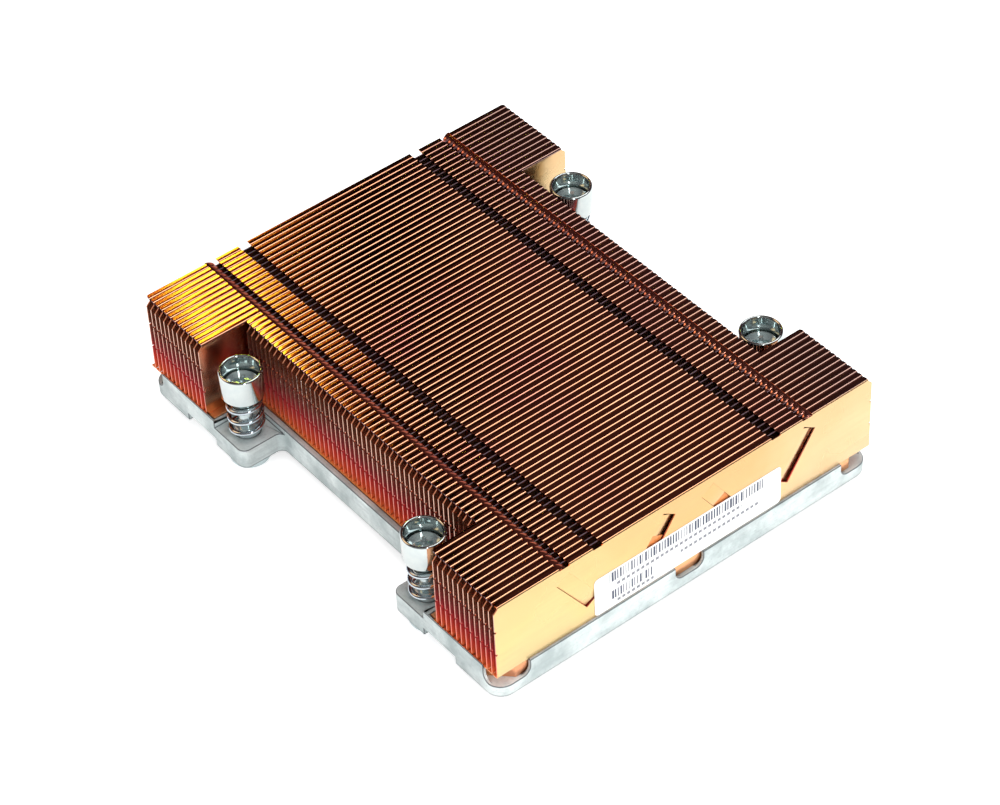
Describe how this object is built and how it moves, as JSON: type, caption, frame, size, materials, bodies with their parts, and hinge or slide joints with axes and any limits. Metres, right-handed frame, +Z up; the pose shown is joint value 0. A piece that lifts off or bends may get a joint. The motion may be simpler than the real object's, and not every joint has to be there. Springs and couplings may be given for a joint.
{
  "type": "passive server cpu heatsink",
  "caption": "Low passive heatsink for a server processor: folded copper fins in an H-shaped stack on a copper base, held by a cast frame with spring-loaded captive screws.",
  "frame": {"origin": "middle of the copper contact face on the underside, which is the lowest face", "axes": "+Z up, away from the processor; +X along the fins; -Y is the front fin with the label"},
  "size_m": [0.0908, 0.1094, 0.0262],
  "materials": {
    "copper_fins": "rolled bright",
    "copper_base": "milled",
    "cast_frame": "as cast, fine grain",
    "plated_cups": "nickel plated, satin",
    "plated_steel": "zinc plated",
    "spring_wire": "drawn wire",
    "label": "matt"
  },
  "bodies": {
    "heatsink": {"base_frame": "cast_frame", "base_plate": "copper_base", "base_screws": "plated_steel", "front_fin_01": "copper_fins", "front_fin_02": "copper_fins", "front_fin_03": "copper_fins", "front_fin_04": "copper_fins", "front_fin_05": "copper_fins", "front_fin_06": "copper_fins", "front_fin_07": "copper_fins", "front_fin_08": "copper_fins", "front_fin_09": "copper_fins", "front_fin_10": "copper_fins", "front_fin_11": "copper_fins", "front_fin_12": "copper_fins", "front_fin_13": "copper_fins", "front_label": "label", "middle_fins_01": "copper_fins", "middle_fins_02": "copper_fins", "middle_fins_03": "copper_fins", "middle_fins_04": "copper_fins", "middle_fins_05": "copper_fins", "middle_fins_06": "copper_fins", "middle_fins_07": "copper_fins", "rear_fin_01": "copper_fins", "rear_fin_02": "copper_fins", "rear_fin_03": "copper_fins", "rear_fin_04": "copper_fins", "rear_fin_05": "copper_fins", "rear_fin_06": "copper_fins", "rear_fin_07": "copper_fins", "rear_fin_08": "copper_fins", "rear_fin_09": "copper_fins", "rear_fin_10": "copper_fins", "rear_fin_11": "copper_fins", "rear_fin_12": "copper_fins", "rear_fin_13": "copper_fins", "retaining_sleeve_front_left": "plated_steel", "retaining_sleeve_front_right": "plated_steel", "retaining_sleeve_rear_left": "plated_steel", "retaining_sleeve_rear_right": "plated_steel", "spring_front_left": "spring_wire", "spring_front_right": "spring_wire", "spring_rear_left": "spring_wire", "spring_rear_right": "spring_wire"},
    "cup_front_left": {"spring_cup_front_left": "plated_cups"},
    "screw_front_left": {"captive_screw_front_left": "plated_steel"},
    "cup_front_right": {"spring_cup_front_right": "plated_cups"},
    "screw_front_right": {"captive_screw_front_right": "plated_steel"},
    "cup_rear_left": {"spring_cup_rear_left": "plated_cups"},
    "screw_rear_left": {"captive_screw_rear_left": "plated_steel"},
    "cup_rear_right": {"spring_cup_rear_right": "plated_cups"},
    "screw_rear_right": {"captive_screw_rear_right": "plated_steel"}
  },
  "joints": [
    {"name": "press_front_left", "type": "slide", "parent": "heatsink", "child": "cup_front_left", "axis": [0, 0, -1], "range_m": [0, 0.004], "stiffness_N_per_m": 1500, "deforming": ["spring_front_left"]},
    {"name": "turn_front_left", "type": "hinge", "parent": "cup_front_left", "child": "screw_front_left", "pos_m": [-0.04075, -0.0284, 0.01835], "axis": [0, 0, 1], "continuous": true},
    {"name": "press_front_right", "type": "slide", "parent": "heatsink", "child": "cup_front_right", "axis": [0, 0, -1], "range_m": [0, 0.004], "stiffness_N_per_m": 1500, "deforming": ["spring_front_right"]},
    {"name": "turn_front_right", "type": "hinge", "parent": "cup_front_right", "child": "screw_front_right", "pos_m": [0.04075, -0.0284, 0.01835], "axis": [0, 0, 1], "continuous": true},
    {"name": "press_rear_left", "type": "slide", "parent": "heatsink", "child": "cup_rear_left", "axis": [0, 0, -1], "range_m": [0, 0.004], "stiffness_N_per_m": 1500, "deforming": ["spring_rear_left"]},
    {"name": "turn_rear_left", "type": "hinge", "parent": "cup_rear_left", "child": "screw_rear_left", "pos_m": [-0.04075, 0.0284, 0.01835], "axis": [0, 0, 1], "continuous": true},
    {"name": "press_rear_right", "type": "slide", "parent": "heatsink", "child": "cup_rear_right", "axis": [0, 0, -1], "range_m": [0, 0.004], "stiffness_N_per_m": 1500, "deforming": ["spring_rear_right"]},
    {"name": "turn_rear_right", "type": "hinge", "parent": "cup_rear_right", "child": "screw_rear_right", "pos_m": [0.04075, 0.0284, 0.01835], "axis": [0, 0, 1], "continuous": true}
  ]
}
